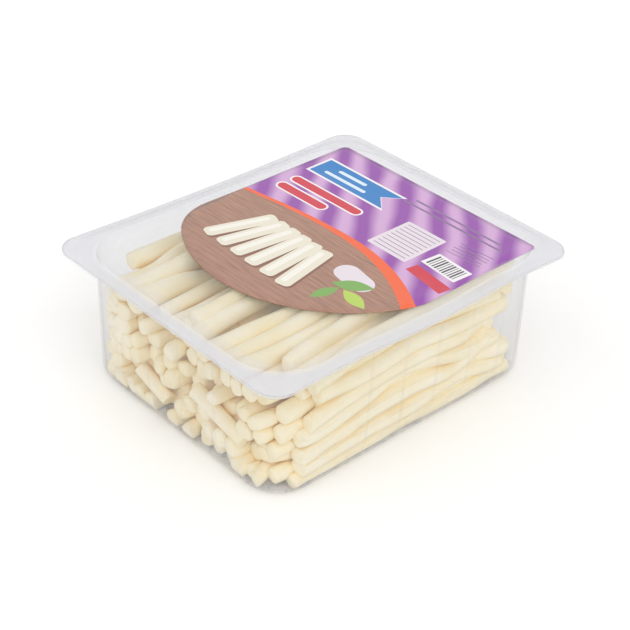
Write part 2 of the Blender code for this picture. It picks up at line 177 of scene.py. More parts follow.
# The fan of bars on the label, in millimetres and degrees: each part's place in its bar, its length,
# width and rounding
FAN_BARS = 6
FAN_START = (-36, -13)
FAN_STEP = (9.2, -0.5)
FAN_TURNS = (72, 6)
FAN_SHADOW = (1.5, -1.2, 34, 8.6, 0.6)
FAN_BODY = (0, 0, 35, 8.2, 0.6)
FAN_LIGHT = (-1, 0, 30, 3, 1)

# Leaves and pennants, in millimetres and degrees: ink, x, y, length, width, and turn or notch
LEAVES = [("leaf", 34, -9, 19, 8, 35), ("lime", 42, -16, 17, 7, -12), ("leaf", 30, -22, 15, 6, 80)]
PENNANTS = [("white", -31, 54, 53, 17, 9), ("blue", -31.2, 54, 50, 14.4, 8)]

# Bars and panels, in millimetres and degrees: x, y, length, width, turn and rounding
DISH = (30, -4.5, 23, 12, -10, 1)
PENNANT_BARS = [(-36, 51.4, 28, 2.2, 0, 1), (-36, 56.6, 19, 2.2, 0, 1)]
RED_BARS = [(-32, 35.5, 46, 5, 0, 1), (-39, 26.5, 32, 5, 0, 1)]
RED_BAR_EDGE = 2
PANEL = (22.5, 35, 24, 27, 0, 0.08)
PANEL_RULES = [(22.5, 46 - 2.75 * k, 20, 0.45, 0, 0.5) for k in range(9)]
PLATE = (50, 32, 22, 11, -6, 0.08)
STROKE_WIDTHS = (1.1, 0.5, 0.8)
STROKES = [(41.5 + 1.7 * k, 32.9 - 0.178 * k, STROKE_WIDTHS[k % 3], 8.4, -6, 0.05) for k in range(11)]
TAG = (51, 19.5, 24, 6.6, -9, 0.1)
LONG_RULES = [(26, 60.5, 62, 1.3, 0, 1), (26, 64.7, 54, 1.3, 0, 1)]
SHORT_RULES = [(49.5, 52.5 - 2.4 * k, 20 - 2 * (k % 2), 0.5, 0, 0.5) for k in range(5)]
ROUND_STEPS = 8

# The packing of the sticks, as in the solids
COLUMNS = 16
LAYERS = 8
MISSING = 6
LOW_COLUMNS = 2
SIDE_COLUMN_PITCH = 8.3 * MM
LAYER_PITCH = 7.5 * MM
FIRST_LAYER = 5 * MM
JITTER = 3 * MM
STICK_RADII = (3.3 * MM, 4.5 * MM)
STICK_CLEARANCE = 0.4 * MM
FILLET_CLEARANCE = 1.2 * MM
HEAP_FLOOR = 1.3 * MM
HEAP_CEILING = 62.6 * MM
STATIONS = [(-84 + 28 * k) * MM for k in range(7)]
SHAKES = [spread * MM for spread in (2.4, 2.2, 2.0, 2.0, 2.2, 2.4, 2.6)]
FIRST_SETTLE = (60, 0.1 * MM)  # rounds, and how far the sticks sink in each
STATION_SETTLE = (10, 0.05 * MM)
PUSHES = 3
PUSH_SHARE = 0.35
FLOW = 1.2 * MM
FLOW_PITCH = 22 * MM
DRIFT = 0.8
RISES = [rise * MM for rise in (-5, 2.5, 3, 2.5, 1, -2, -3)]  # at the right wall, by station
RISE_REACH = 22 * MM
ADDED = [(54 * MM, 35 * MM), (62 * MM, 35 * MM)]
ADDED_RADIUS = 4.1 * MM
THIN_FROM = 49 * MM
THINNING = 0.87
SIDE_SHAKE = 0.5
FRONT_GAP = (0.5 * MM, 8 * MM)
FRONT_GAP_BIAS = 3
BACK_GAP = (4 * MM, 24 * MM)
BACK_GAP_BIAS = 1.6
END_REACH = 0.9
CROSSING_REACH = 0.8
ON_FLOOR = 1.5
BY_WALL = 2
POCKETS = [((x * MM, z * MM), depth * MM) for x, z, depth in (
    (54, 47, 15), (61, 37, 8), (31, 39, 11), (-17, 42, 15), (14, 31, 10), (-16, 52, 9), (0, 59, 8))]
POCKET_REACH = 6 * MM
CROSSING_RADIUS = 3.6 * MM
CROSSING_Y = -75.4 * MM
CROSSINGS = [((8 * MM, 27 * MM), (42 * MM, 18.5 * MM)), ((-31 * MM, 17 * MM), (-9 * MM, 10.5 * MM))]
CORE_INSET = 5 * MM
CORE_HALF_LENGTH = 53 * MM
CORE_UNDER_TOPS = 1.2 * MM
CORE_COLUMNS = 24
STUB_ROOT = 3 * MM
SEED = 5

# How soft the cheese is: its form beyond the plain round sticks of the solids
FLOOR_END_REACH = 1.5 * MM  # sticks on the floor are this much too long, and press_on_walls flattens them
WALL_TOUCH = 0.12 * MM
LID_TOUCH = 0.4 * MM
SIDE_PRESS = 2 * MM
FLOOR_PRESS = 1.2 * MM
END_PRESS = 1 * MM
LID_PRESS = 1 * MM
LONG_SWELL = (13 * MM, 0.05)  # pitch, and share of the radius
SHORT_SWELL = (4.5 * MM, 0.03)
SWELL_PHASES = 6
SQUARENESS = (0.035, 0.07)
FLATNESS = (0.0, 0.08)
TWIST = 5
PINCH = (0.03, 0.12)
PINCH_LENGTH = 3 * MM
END_TILT = 0.175
STICK_SIDES = 14
STICK_RADIUS = 4 * MM
RIM_ROUNDING = 1.5 * MM
END_RISE = (1.2 * MM, 0.12 * MM)
WHOLE_STICK = (150 * MM, 46)  # length of the straight model, and how many lengths it is cut into
STUB = (16 * MM, 4)

# The photograph's camera
CAMERA_AZIMUTH = 0.818
CAMERA_ELEVATION = 0.588
CAMERA_ROLL = 0.036
CAMERA_DISTANCE = 708.5 * MM
CAMERA_AIM = (0.9 * MM, 23.9 * MM)
CAMERA_FOCAL_SHARE = 1510.7 / 630  # focal length by the picture's width
CAMERA_NEAR = 10 * MM
SENSOR_MM = 36.0

# The stage: each sun's place, strength and spread in degrees
FLOOR_REACH = 3
FLOOR_DROP = 0.4 * MM
SKY_STRENGTH = 0.82
KEY_SUN = ((0.9, -0.25, 0.9), 0.85, 50)
FILL_SUN = ((-0.25, -1, 0.75), 0.35, 60)


def linear(code):
    """A linear RGB colour from an sRGB hex value."""
    values = [int(code[i:i + 2], 16) / 255 for i in (1, 3, 5)]
    return [v / 12.92 if v <= 0.04045 else ((v + 0.055) / 1.055) ** 2.4 for v in values]


def colour_property(name, description, code):
    """A colour that a user would change, its default an sRGB hex value."""
    return bpy.props.FloatVectorProperty(
        name=name, description=description, subtype="COLOR", size=3, min=0, max=1, default=linear(code))


class CheesePackSettings(bpy.types.PropertyGroup):
    """Sizes and colours of the pack that a user would change."""

    wall: bpy.props.FloatProperty(
        name="Wall", description="Thickness of the tub's sheet", default=WALL, min=0.2 * MM,
        unit="LENGTH")
    rib_depth: bpy.props.FloatProperty(
        name="Rib depth", description="How far the upright ribs stand out of the walls",
        default=RIB_DEPTH, min=0, unit="LENGTH")
    stick_fullness: bpy.props.FloatProperty(
        name="Stick fullness", description="How far each stick swells into its neighbours",
        default=1.12, min=0.8, max=1.3, subtype="FACTOR")
    cheese: colour_property("Cheese", "Colour of the cheese", "#FBF2D4")
    clear: colour_property("Clear sheet", "Haze of the clear tub and film", "#E4E4E9")
    milky: colour_property("Sealed edge", "Milky look of the sealed flange", "#F1F1F4")
    purple: colour_property("Purple", "Main ink of the label", "#9650A9")
    lilac: colour_property("Lilac", "Pale bands across the purple", "#D3A9D4")
    orange: colour_property("Orange", "Curved band on the label", "#F2683C")
    brown: colour_property("Brown", "Board field on the label", "#A9806D")


def settings():
    """The sizes and colours as the user has set them."""
    return bpy.context.scene.cheese_pack


# Materials


def add_node(tree, kind, inputs=None, **values):
    """Adds a node. inputs maps its sockets to a value or to the output that feeds them."""
    node = tree.nodes.new(kind)
    for name, value in values.items():
        setattr(node, name, value)
    for socket, value in (inputs or {}).items():
        if isinstance(value, bpy.types.NodeSocket):
            tree.links.new(value, node.inputs[socket])
        else:
            node.inputs[socket].default_value = value
    return node


def empty_material(name):
    """A new material and its node tree, with no nodes in it."""
    material = bpy.data.materials.new(name)
    material.use_nodes = True
    material.node_tree.nodes.clear()
    return material, material.node_tree


def ramp(tree, factor, stops):
    """A colour ramp from a list of (place, linear RGB)."""
    node = add_node(tree, "ShaderNodeValToRGB", {"Fac": factor})
    band = node.color_ramp
    while len(band.elements) < len(stops):
        band.elements.new(0.5)
    for element, (place, colour) in zip(band.elements, stops):
        element.position = place
        element.color = (*colour, 1)
    return node.outputs["Color"]


def clear_sheet_material(name, haze_colour, face_tint, edge_tint, haze, roughness,
                         wet_below=0.0, hazy_rim=False):
    """Thin clear PET: it lets light straight through, greys a little where it turns away, and shines.

    It is drawn over a polished mould, so its gloss is high, and a slight haze stays in the sheet.
    Where film and flange are sealed, hot jaws leave it milky, which a higher haze gives. Below
    wet_below, whey between the sheet and the cheese shows as pale spots a few millimetres wide.
    """
    material, tree = empty_material(name)
    turned = add_node(tree, "ShaderNodeLayerWeight", {"Blend": 0.5}).outputs["Facing"]
    tint = ramp(tree, turned, [(0.0, face_tint), (EDGE_TINT_FROM, face_tint), (1.0, edge_tint)])
    through = add_node(tree, "ShaderNodeBsdfTransparent", {"Color": tint})
    skin = add_node(tree, "ShaderNodeBsdfPrincipled", {
        "Base Color": (*haze_colour, 1), "Roughness": roughness, "IOR": 1.57, "Metallic": 0.0})
    grazing = add_node(tree, "ShaderNodeMath", {0: turned, 1: GRAZING_POWER}, operation="POWER")
    share = add_node(tree, "ShaderNodeMath", {0: grazing.outputs["Value"], 1: GRAZING_HAZE, 2: haze},
                     operation="MULTIPLY_ADD", use_clamp=True).outputs["Value"]
    if wet_below:
        share = with_wet_spots(tree, share, wet_below)
    if hazy_rim:
        share = with_hazy_rim(tree, share)
    mix = add_node(tree, "ShaderNodeMixShader", {
        "Fac": share, 1: through.outputs["BSDF"], 2: skin.outputs["BSDF"]})
    add_node(tree, "ShaderNodeOutputMaterial", {"Surface": mix.outputs["Shader"]})
    return material


def with_wet_spots(tree, share, height):
    """Adds pale spots to a sheet's haze, most of all at the floor and none above this height."""
    place = add_node(tree, "ShaderNodeTexCoord").outputs["Object"]
    up = add_node(tree, "ShaderNodeSeparateXYZ", {"Vector": place}).outputs["Z"]
    low = add_node(tree, "ShaderNodeMapRange", {"Value": up, 1: height, 2: 0.0, 3: 0.0, 4: 1.0})
    spots = add_node(tree, "ShaderNodeTexNoise", {
        "Vector": place, "Scale": 1 / WET_SPOT, "Detail": 3, "Roughness": 0.6})
    bright = add_node(tree, "ShaderNodeMapRange", {
        "Value": spots.outputs["Fac"], 1: WET_NOISE[0], 2: WET_NOISE[1], 3: 0.0, 4: WET_HAZE})
    wet = add_node(tree, "ShaderNodeMath", {
        0: low.outputs["Result"], 1: bright.outputs["Result"], 2: share},
        operation="MULTIPLY_ADD", use_clamp=True)
    return wet.outputs["Value"]


def with_hazy_rim(tree, share):
    """Adds haze to the film's last millimetres before the tub's rim, which the hot jaws cloud."""
    half_width, half_length, corner = wall_size(TRAY_HEIGHT)
    place = add_node(tree, "ShaderNodeTexCoord").outputs["Object"]
    aside = add_node(tree, "ShaderNodeVectorMath", {0: place}, operation="ABSOLUTE")
    past = add_node(tree, "ShaderNodeVectorMath", {
        0: aside.outputs["Vector"], 1: (half_width - corner, half_length - corner, 1)},
        operation="SUBTRACT")
    beyond = add_node(tree, "ShaderNodeVectorMath", {0: past.outputs["Vector"], 1: (0, 0, 0)},
                      operation="MAXIMUM")
    reach = add_node(tree, "ShaderNodeVectorMath", {0: beyond.outputs["Vector"]}, operation="LENGTH")
    cloud = add_node(tree, "ShaderNodeMapRange", {
        "Value": reach.outputs["Value"], 1: corner - RIM_HAZE_WIDTH, 2: corner, 3: 0.0, 4: RIM_HAZE})
    total = add_node(tree, "ShaderNodeMath", {0: cloud.outputs["Result"], 1: share}, use_clamp=True)
    return total.outputs["Value"]


def cheese_material(colour):
    """Fresh stretched-curd cheese: moist, close-grained and pale, with a soft gloss.

    Drawn out as a hot curd, it has fine fibres along its length and slightly uneven colour. Deep in the
    gaps between the sticks, amber shade is painted into the colour, so the gaps look amber and not grey.
    """
    material, tree = empty_material("stretched_curd_cheese")
    place = add_node(tree, "ShaderNodeTexCoord").outputs["Object"]
    along = add_node(tree, "ShaderNodeMapping", {
        "Vector": place, "Scale": (1 / FIBRE_WIDTH, 1 / FIBRE_LENGTH, 1 / FIBRE_WIDTH)})
    fibre = add_node(tree, "ShaderNodeTexNoise", {
        "Vector": along.outputs["Vector"], "Scale": 1.0, "Detail": 3, "Roughness": 0.55})
    clouds = add_node(tree, "ShaderNodeTexNoise", {
        "Vector": place, "Scale": 1 / CLOUD_SIZE, "Detail": 2, "Roughness": 0.5})
    warm = [channel * share for channel, share in zip(colour, CLOUD_WARM)]
    pale = [min(channel * share, 1) for channel, share in zip(colour, CLOUD_PALE)]
    base = ramp(tree, clouds.outputs["Fac"], list(zip(CLOUD_NOISE, (warm, pale))))
    # Painted shade: ambient occlusion tints the colour amber in the gaps between the sticks
    openness = add_node(tree, "ShaderNodeAmbientOcclusion", {"Distance": PAINTED_SHADE_REACH},
                        samples=6, only_local=True)
    depth = ramp(tree, openness.outputs["AO"], PAINTED_GAP_SHADE)
    with_painted_shade = add_node(tree, "ShaderNodeMixRGB", {"Fac": 1.0, "Color1": base, "Color2": depth},
                      blend_type="MULTIPLY")
    bump = add_node(tree, "ShaderNodeBump", {
        "Height": fibre.outputs["Fac"], "Strength": 0.25, "Distance": FIBRE_DEPTH})
    body = add_node(tree, "ShaderNodeBsdfPrincipled", {
        "Base Color": with_painted_shade.outputs["Color"], "Roughness": 0.42, "IOR": 1.45, "Metallic": 0.0,
        "Normal": bump.outputs["Normal"]})
    add_node(tree, "ShaderNodeOutputMaterial", {"Surface": body.outputs["BSDF"]})
    return material


def ink_material(name, colour=None, pattern=None):
    """Printing ink under a gloss varnish on a smooth white label, whose bare back faces the cheese.

    The ink has one colour, or a pattern in the label's own plane.
    """
    material, tree = empty_material(name)
    if pattern:
        ink = pattern(tree, add_node(tree, "ShaderNodeTexCoord").outputs["Object"])
    else:
        ink = (*colour, 1)
    facing = add_node(tree, "ShaderNodeSeparateXYZ", {
        "Vector": add_node(tree, "ShaderNodeNewGeometry").outputs["True Normal"]})
    below = add_node(tree, "ShaderNodeMath", {0: facing.outputs["Z"], 1: -0.5}, operation="LESS_THAN")
    shown = add_node(tree, "ShaderNodeMixRGB", {
        "Fac": below.outputs["Value"], "Color1": ink, "Color2": (*linear("#F4F2EE"), 1)})
    body = add_node(tree, "ShaderNodeBsdfPrincipled", {
        "Base Color": shown.outputs["Color"], "Roughness": 0.34, "IOR": 1.5, "Metallic": 0.0,
        "Coat Weight": 0.25, "Coat Roughness": 0.12})
    add_node(tree, "ShaderNodeOutputMaterial", {"Surface": body.outputs["BSDF"]})
    return material


def purple_bands(tree, place):
    """Soft slanting bands from deep purple to pale lilac."""
    turned = add_node(tree, "ShaderNodeMapping", {
        "Vector": place, "Rotation": (0, 0, math.radians(BAND_TURN)), "Scale": (1, 1, 0)})
    bands = add_node(tree, "ShaderNodeTexWave", {
        "Vector": turned.outputs["Vector"], "Scale": WAVE_SCALE / BAND_PITCH, "Distortion": 3.0,
        "Detail": 2.0, "Detail Scale": 0.9, "Detail Roughness": 0.5},
        wave_type="BANDS", bands_direction="X", wave_profile="SIN")
    own = settings()
    deep, pale = list(own.purple), list(own.lilac)
    middle = [(a + b) / 2 for a, b in zip(deep, pale)]
    return ramp(tree, bands.outputs["Fac"], [(0.1, deep), (0.55, middle), (0.95, pale)])


def board_grain(tree, place):
    """A brown board with darker and lighter streaks along it, about a millimetre wide."""
    along = add_node(tree, "ShaderNodeMapping", {
        "Vector": place, "Rotation": (0, 0, math.radians(STREAK_TURN)),
        "Scale": (1 / STREAK_LENGTH, 1 / STREAK_WIDTH, 0)})
    grain = add_node(tree, "ShaderNodeTexNoise", {
        "Vector": along.outputs["Vector"], "Scale": 1.0, "Detail": 4, "Roughness": 0.6})
    brown = list(settings().brown)
    dark, light = ([min(channel * shade, 1) for channel in brown] for shade in STREAK_SHADES)
    return ramp(tree, grain.outputs["Fac"], [(0.3, dark), (0.5, brown), (0.72, light)])


# Shared mesh helpers


def finish_mesh(name, bm, materials, smooth=45):
    """Turns a bmesh into a smooth-shaded object at the origin."""
    mesh = bpy.data.meshes.new(name)
    bm.to_mesh(mesh)
    bm.free()
    for material in materials:
        mesh.materials.append(material)
    mesh.shade_smooth()
    mesh.set_sharp_from_angle(angle=math.radians(smooth))
    piece = bpy.data.objects.new(name, mesh)
    bpy.context.scene.collection.objects.link(piece)
    return piece


def place_piece(piece, node):
    """Puts a piece on the body in place of a solid, and hides the solid."""
    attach(piece, "root")
    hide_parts(node)


def start_ring(bm, points):
    """A closed ring of vertices at these points."""
    made = bmesh.ops.create_circle(bm, cap_ends=False, segments=len(points), radius=1)
    for vert, point in zip(made["verts"], points):
        vert.co = point
    return made["verts"]


def next_ring(bm, ring, points):
    """Extrudes a ring of vertices to new points and returns the new ring in the same order."""
    edges = [bm.edges.get((a, b)) for a, b in zip(ring, ring[1:] + ring[:1])]
    made = bmesh.ops.extrude_edge_only(bm, edges=edges)
    fresh = {item for item in made["geom"] if isinstance(item, bmesh.types.BMVert)}
    following = []
    for vert, point in zip(ring, points):
        new = next(edge.other_vert(vert) for edge in vert.link_edges if edge.other_vert(vert) in fresh)
        new.co = point
        following.append(new)
    return following


def face_outwards(bm, way):
    """Turns an open sheet's faces alike, so that its most level ones face up (1) or down (-1)."""
    bmesh.ops.recalc_face_normals(bm, faces=bm.faces[:])
    bm.normal_update()
    level = max(bm.faces, key=lambda face: abs(face.normal.z) * face.calc_area())
    if level.normal.z * way < 0:
        bmesh.ops.reverse_faces(bm, faces=bm.faces[:])


def smooth_step(share):
    """Rises smoothly from 0 to 1 as the share does."""
    share = np.clip(share, 0, 1)
    return share * share * (3 - 2 * share)


def lid_height(x, y):
    """How far the flange and what is sealed on it stand above the flat, as thin sheet warps."""
    across, along = x / (TRAY_WIDTH / 2), y / TRAY_LENGTH
    right, left = max(across, 0) ** 2, max(-across, 0) ** 2
    wave = -EDGE_WAVE * math.cos(2 * math.pi * y / EDGE_WAVE_PITCH) * right
    return wave - EDGE_DROOP * math.cos(math.pi * along) * left


def film_sag(x, y):
    """How far the film hangs in the mouth of the tub."""
    across = abs(x) / (TRAY_WIDTH / 2 - FLANGE_OVERHANG)
    along = abs(y) / (TRAY_LENGTH / 2 - FLANGE_OVERHANG)
    slope = (1 - max(across, along)) / SAG_BORDER
    return -FILM_SAG * float(smooth_step(slope))


# The tub


def rib_rise(place, starts):
    """How much of a rib's depth stands here, from 0 between ribs to 1 on one."""
    rise = 0.0
    for start in starts:
        middle, half = start + RIB_WIDTH / 2, RIB_WIDTH / 2
        rise = max(rise, float(smooth_step((half + RIB_EDGE - abs(place - middle)) / RIB_EDGE)))
    return rise


def tub_outline(half_width, half_length, corner, rib=0.0):
    """Points round the tub, anticlockwise from the front of its right side, with the ribs on it."""
    points = []
    for turn in range(4):
        on_side = turn % 2 == 0
        reach, run = (half_width, half_length) if on_side else (half_length, half_width)
        ribbed, steps, starts = (SIDE_RIBBED, SIDE_STEPS, SIDE_RIBS) if on_side else (
            END_RIBBED, END_STEPS, END_RIBS)
        angle = turn * math.pi / 2
        out = Vector((math.cos(angle), math.sin(angle)))
        on = Vector((-math.sin(angle), math.cos(angle)))
        plain = [ribbed + (run - corner - ribbed) * k / PLAIN_STEPS for k in range(1, PLAIN_STEPS)]
        middle = [ribbed * (2 * k / steps - 1) for k in range(steps + 1)]
        facing = 1 if turn in (0, 3) else -1
        for place in [-p for p in reversed(plain)] + middle + plain:
            points.append(out * (reach + rib * rib_rise(place * facing, starts)) + on * place)
        for step in range(CORNER_STEPS + 1):
            bend = math.pi / 2 * step / CORNER_STEPS
            points.append(out * (reach - corner + corner * math.cos(bend))
                          + on * (run - corner + corner * math.sin(bend)))
    return points


def wall_size(height):
    """Half width, half length and corner radius of the tub's outer wall at a height."""
    down = TRAY_HEIGHT - height
    inset = FLANGE_OVERHANG + down * WALL_SLOPE
    corner = WALL_CORNER_TOP - (WALL_CORNER_TOP - WALL_CORNER_BASE) * down / TRAY_HEIGHT
    return TRAY_WIDTH / 2 - inset, TRAY_LENGTH / 2 - inset, corner


def wall_points(height, rib=0.0, inset=0.0, level=None):
    """A ring of the wall: its outline at a height, drawn at that height or at another level."""
    half_width, half_length, corner = wall_size(height)
    z = height if level is None else level
    return [point.to_3d() + Vector((0, 0, z))
            for point in tub_outline(half_width - inset, half_length - inset, corner - inset, rib)]


def flange_points(inset, level):
    """A ring of the flange, this far in from its outer edge and warped as the sheet is."""
    outline = tub_outline(TRAY_WIDTH / 2 - inset, TRAY_LENGTH / 2 - inset, FLANGE_CORNER + inset)
    return [Vector((p.x, p.y, level + lid_height(p.x, p.y))) for p in outline]


def tub_rings(rib_depth):
    """Every ring of the tub's outer face, from the middle of the base out to the flange's edge."""
    under = TRAY_HEIGHT - WALL
    rings = []
    rim = wall_points(BASE_FILLET, inset=BASE_FILLET, level=0)
    for share in BASE_RINGS:
        rings.append([point * share for point in rim])
    for step in range(1, FILLET_STEPS + 1):
        bend = math.pi / 2 * step / FILLET_STEPS
        rings.append(wall_points(BASE_FILLET, inset=BASE_FILLET * (1 - math.sin(bend)),
                                 level=BASE_FILLET * (1 - math.cos(bend))))
    for share in RUNOUT_BELOW:
        rings.append(wall_points(RIB_FOOT - RIB_RUNOUT * (1 - share),
                                 rib=rib_depth * float(smooth_step(share))))
    for step in range(1, WALL_STEPS + 1):
        rings.append(wall_points(RIB_FOOT + (RIB_TOP - RIB_FOOT) * step / WALL_STEPS, rib=rib_depth))
    for share in RUNOUT_ABOVE:
        rings.append(wall_points(RIB_TOP + RIB_RUNOUT * (1 - share),
                                 rib=rib_depth * float(smooth_step(share))))
    mouth = under - MOUTH_RADIUS
    width, length, corner = wall_size(mouth)
    for step in range(MOUTH_STEPS + 1):
        share = step / MOUTH_STEPS
        bend = math.pi / 2 * share
        outward = MOUTH_RADIUS * (1 - math.cos(bend))
        height = mouth + MOUTH_RADIUS * math.sin(bend)
        outline = tub_outline(width + outward, length + outward, corner + outward)
        rings.append([Vector((p.x, p.y, height + share * lid_height(p.x, p.y))) for p in outline])
    return rings + [flange_points(inset, under - drop) for inset, drop in FLANGE_PROFILE]


class CHEESEPACK_OT_tray(bpy.types.Operator):
    """Thermoformed clear tub with ribbed walls and a stepped flange"""

    bl_idname = "cheese_pack.tray"
    bl_label = "Tray"

    def execute(self, context):
        own = settings()
        rings = tub_rings(own.rib_depth)
        bm = bmesh.new()
        ring = start_ring(bm, rings[0])
        bmesh.ops.contextual_create(bm, geom=ring)
        for points in rings[1:]:
            ring = next_ring(bm, ring, points)
        # The faces of the flange, and of the mouth's last bend before it, are sealed
        for face in bm.faces[-len(ring) * (len(FLANGE_PROFILE) + 1):]:
            face.material_index = 1
        face_outwards(bm, -1)
        sheet = clear_sheet_material(
            "thermoformed_PET", list(own.clear), *TUB_SHEET, wet_below=WET_BELOW)
        sealed = clear_sheet_material("sealed_PET_flange", list(own.milky), *FLANGE_SHEET)
        tray = finish_mesh("clear_tray", bm, [sheet, sealed], smooth=60)
        shell = tray.modifiers.new("Sheet", "SOLIDIFY")
        shell.thickness = own.wall
        shell.offset = -1
        shell.use_even_offset = True
        place_piece(tray, "tray")
        return {"FINISHED"}


# The sealing film


def film_rings():
    """Rings of the film's top face, from its edge on the lip in to the middle of the mouth.

    The film has no ribs, so every other point of the tub's outline is enough for it.
    """
    outlines = [([p.to_2d() for p in flange_points(inset, 0)], drop) for inset, drop in FILM_PROFILE]
    mouth = tub_outline(*wall_size(TRAY_HEIGHT))
    outlines += [([p * (1 - FILM_RING_SHARE * k) for p in mouth], 0) for k in range(FILM_RINGS)]
    top = TRAY_HEIGHT + FILM_TOP
    return [[Vector((p.x, p.y, top - drop + lid_height(p.x, p.y) + film_sag(p.x, p.y)))
             for p in outline[::2]] for outline, drop in outlines]


class CHEESEPACK_OT_film(bpy.types.Operator):
    """Clear film sealed across the tub's flange"""

    bl_idname = "cheese_pack.film"
    bl_label = "Film"

    def execute(self, context):
        rings = film_rings()
        bm = bmesh.new()
        ring = start_ring(bm, rings[0])
        for points in rings[1:]:
            ring = next_ring(bm, ring, points)
        bmesh.ops.contextual_create(bm, geom=ring)
        for face in bm.faces[:len(ring) * len(FILM_PROFILE)]:
            face.material_index = 1
        face_outwards(bm, 1)
        own = settings()
        sheet = clear_sheet_material("sealing_film", list(own.clear), *FILM_SHEET, hazy_rim=True)
        sealed = clear_sheet_material("sealed_film_edge", list(own.milky), *SEALED_SHEET)
        film = finish_mesh("sealing_film", bm, [sheet, sealed], smooth=60)
        body = film.modifiers.new("Thickness", "SOLIDIFY")
        body.thickness = FILM_BODY
        body.offset = -1
        place_piece(film, "film")
        return {"FINISHED"}


# The label and its print


def arc(centre, radius, start, end, steps):
    """Points along an arc between two angles in degrees."""
    angles = [math.radians(start + (end - start) * k / steps) for k in range(steps + 1)]
    return [centre + Vector((math.cos(a), math.sin(a))) * radius for a in angles]


def label_outline():
    """Square corners at the back, straight sides and a round end towards the front, anticlockwise."""
    end, radius = LABEL_END
    shoulder_x = LABEL_LEFT + LABEL_SHOULDER
    reach = radius - LABEL_SHOULDER
    shoulder = Vector((shoulder_x, end.y - math.sqrt(reach ** 2 - (shoulder_x - end.x) ** 2)))
    turn = math.degrees(math.atan2(shoulder.y - end.y, shoulder.x - end.x))
    start = -math.degrees(math.acos((LABEL_RIGHT - end.x) / radius))
    corner_y = LABEL_TOP - LABEL_CORNER
    return (
        arc(Vector((LABEL_RIGHT - LABEL_CORNER, corner_y)), LABEL_CORNER, 0, 90, steps=8)
        + arc(Vector((LABEL_LEFT + LABEL_CORNER, corner_y)), LABEL_CORNER, 90, 180, steps=8)
        + arc(shoulder, LABEL_SHOULDER, -180, turn, steps=16)
        + arc(end, radius, turn, start, steps=48)[1:]
    )


def bar(centre, length, width, angle, rounding, steps=5):
    """A rectangle with rounded corners, turned by an angle. rounding 1 gives fully round ends."""
    radius = max(min(length, width) / 2 * rounding, LEAST_ROUNDING)
    points = []
    for quarter, (sx, sy) in enumerate(((1, 1), (-1, 1), (-1, -1), (1, -1))):
        middle = Vector((sx * (length / 2 - radius), sy * (width / 2 - radius)))
        points += arc(middle, radius, 90 * quarter, 90 * quarter + 90, steps)
    turn = Matrix.Rotation(math.radians(angle), 2)
    return [Vector(centre) + turn @ point for point in points]


def leaf(centre, length, width, angle, steps=14):
    """A pointed leaf of two curved edges."""
    upper = [Vector((length * (k / steps - 0.5), width / 2 * math.sin(math.pi * k / steps)))
             for k in range(steps)]
    lower = [-point for point in upper]
    turn = Matrix.Rotation(math.radians(angle), 2)
    return [Vector(centre) + turn @ point for point in reversed(upper + lower)]


def pennant(centre, length, width, notch):
    """A band with a notch cut into its right end."""
    half, side = length / 2, width / 2
    corners = [(-half, -side), (half, -side), (half - notch, 0), (half, side), (-half, side)]
    return [Vector(centre) + Vector(corner) for corner in corners]


def sweep_height(x):
    """Where the orange band's lower edge crosses the label: a long arch that falls to the right."""
    peak_x, height = SWEEP_PEAK
    for way, run, fall, bend in zip((-1, 1), SWEEP_RUNS, SWEEP_FALLS, SWEEP_BENDS):
        height -= fall * max(way * (x - peak_x) / run, 0) ** bend
    return height


def sweep_width(x):
    """How wide the orange band is here: it widens to the right."""
    narrow, wide = SWEEP_WIDTHS
    return narrow + (wide - narrow) * ((x - LABEL_LEFT) / (LABEL_RIGHT - LABEL_LEFT)) ** 2


def print_shapes():
    """Every field and simple shape of the print as (ink, outline), the lowest first."""
    left, right = LABEL_LEFT - PRINT_BLEED, LABEL_RIGHT + PRINT_BLEED
    xs = [left + (right - left) * k / SWEEP_STEPS for k in range(SWEEP_STEPS + 1)]
    lower = [Vector((x, sweep_height(x))) for x in xs]
    upper = [Vector((x, sweep_height(x) + sweep_width(x))) for x in xs]
    below = [Vector((left, BOARD_FRONT)), Vector((right, BOARD_FRONT))]
    shapes = [
        ("purple", label_outline()), ("brown", below + lower[::-1]), ("orange", lower + upper[::-1])]

    def add(ink, outline, x, y, length, width, *more, **named):
        shapes.append((ink, outline((x * MM, y * MM), length * MM, width * MM, *more, **named)))

    def add_fan_bar(ink, number, place):
        aside, up, length, width, rounding = place
        x = FAN_START[0] + aside + FAN_STEP[0] * number
        y = FAN_START[1] + up + FAN_STEP[1] * number
        add(ink, bar, x, y, length, width, FAN_TURNS[0] + FAN_TURNS[1] * number, rounding)

    # A fan of plain cream bars, a dish and a sprig of leaves on the brown field
    for number in range(FAN_BARS):
        add_fan_bar("shadow", number, FAN_SHADOW)
    for number in range(FAN_BARS):
        add_fan_bar("cream", number, FAN_BODY)
        add_fan_bar("ivory", number, FAN_LIGHT)
    add("pale", bar, *DISH, steps=ROUND_STEPS)
    for ink, *place in LEAVES:
        add(ink, leaf, *place)
    # A blue pennant with a white edge and two plain bars
    for ink, *place, notch in PENNANTS:
        add(ink, pennant, *place, notch * MM)
    for place in PENNANT_BARS:
        add("ice", bar, *place)
    # Two red bars with a white edge, one under the other
    for x, y, length, width, *more in RED_BARS:
        add("white", bar, x, y, length + RED_BAR_EDGE, width + RED_BAR_EDGE, *more, steps=ROUND_STEPS)
        add("red", bar, x, y, length, width, *more, steps=ROUND_STEPS)
    # Pale panels with plain rules and strokes
    for ink, places in (("pale", [PANEL]), ("rule", PANEL_RULES), ("white", [PLATE]),
                        ("black", STROKES), ("red", [TAG]), ("rule", LONG_RULES + SHORT_RULES)):
        for place in places:
            add(ink, bar, *place)
    return shapes


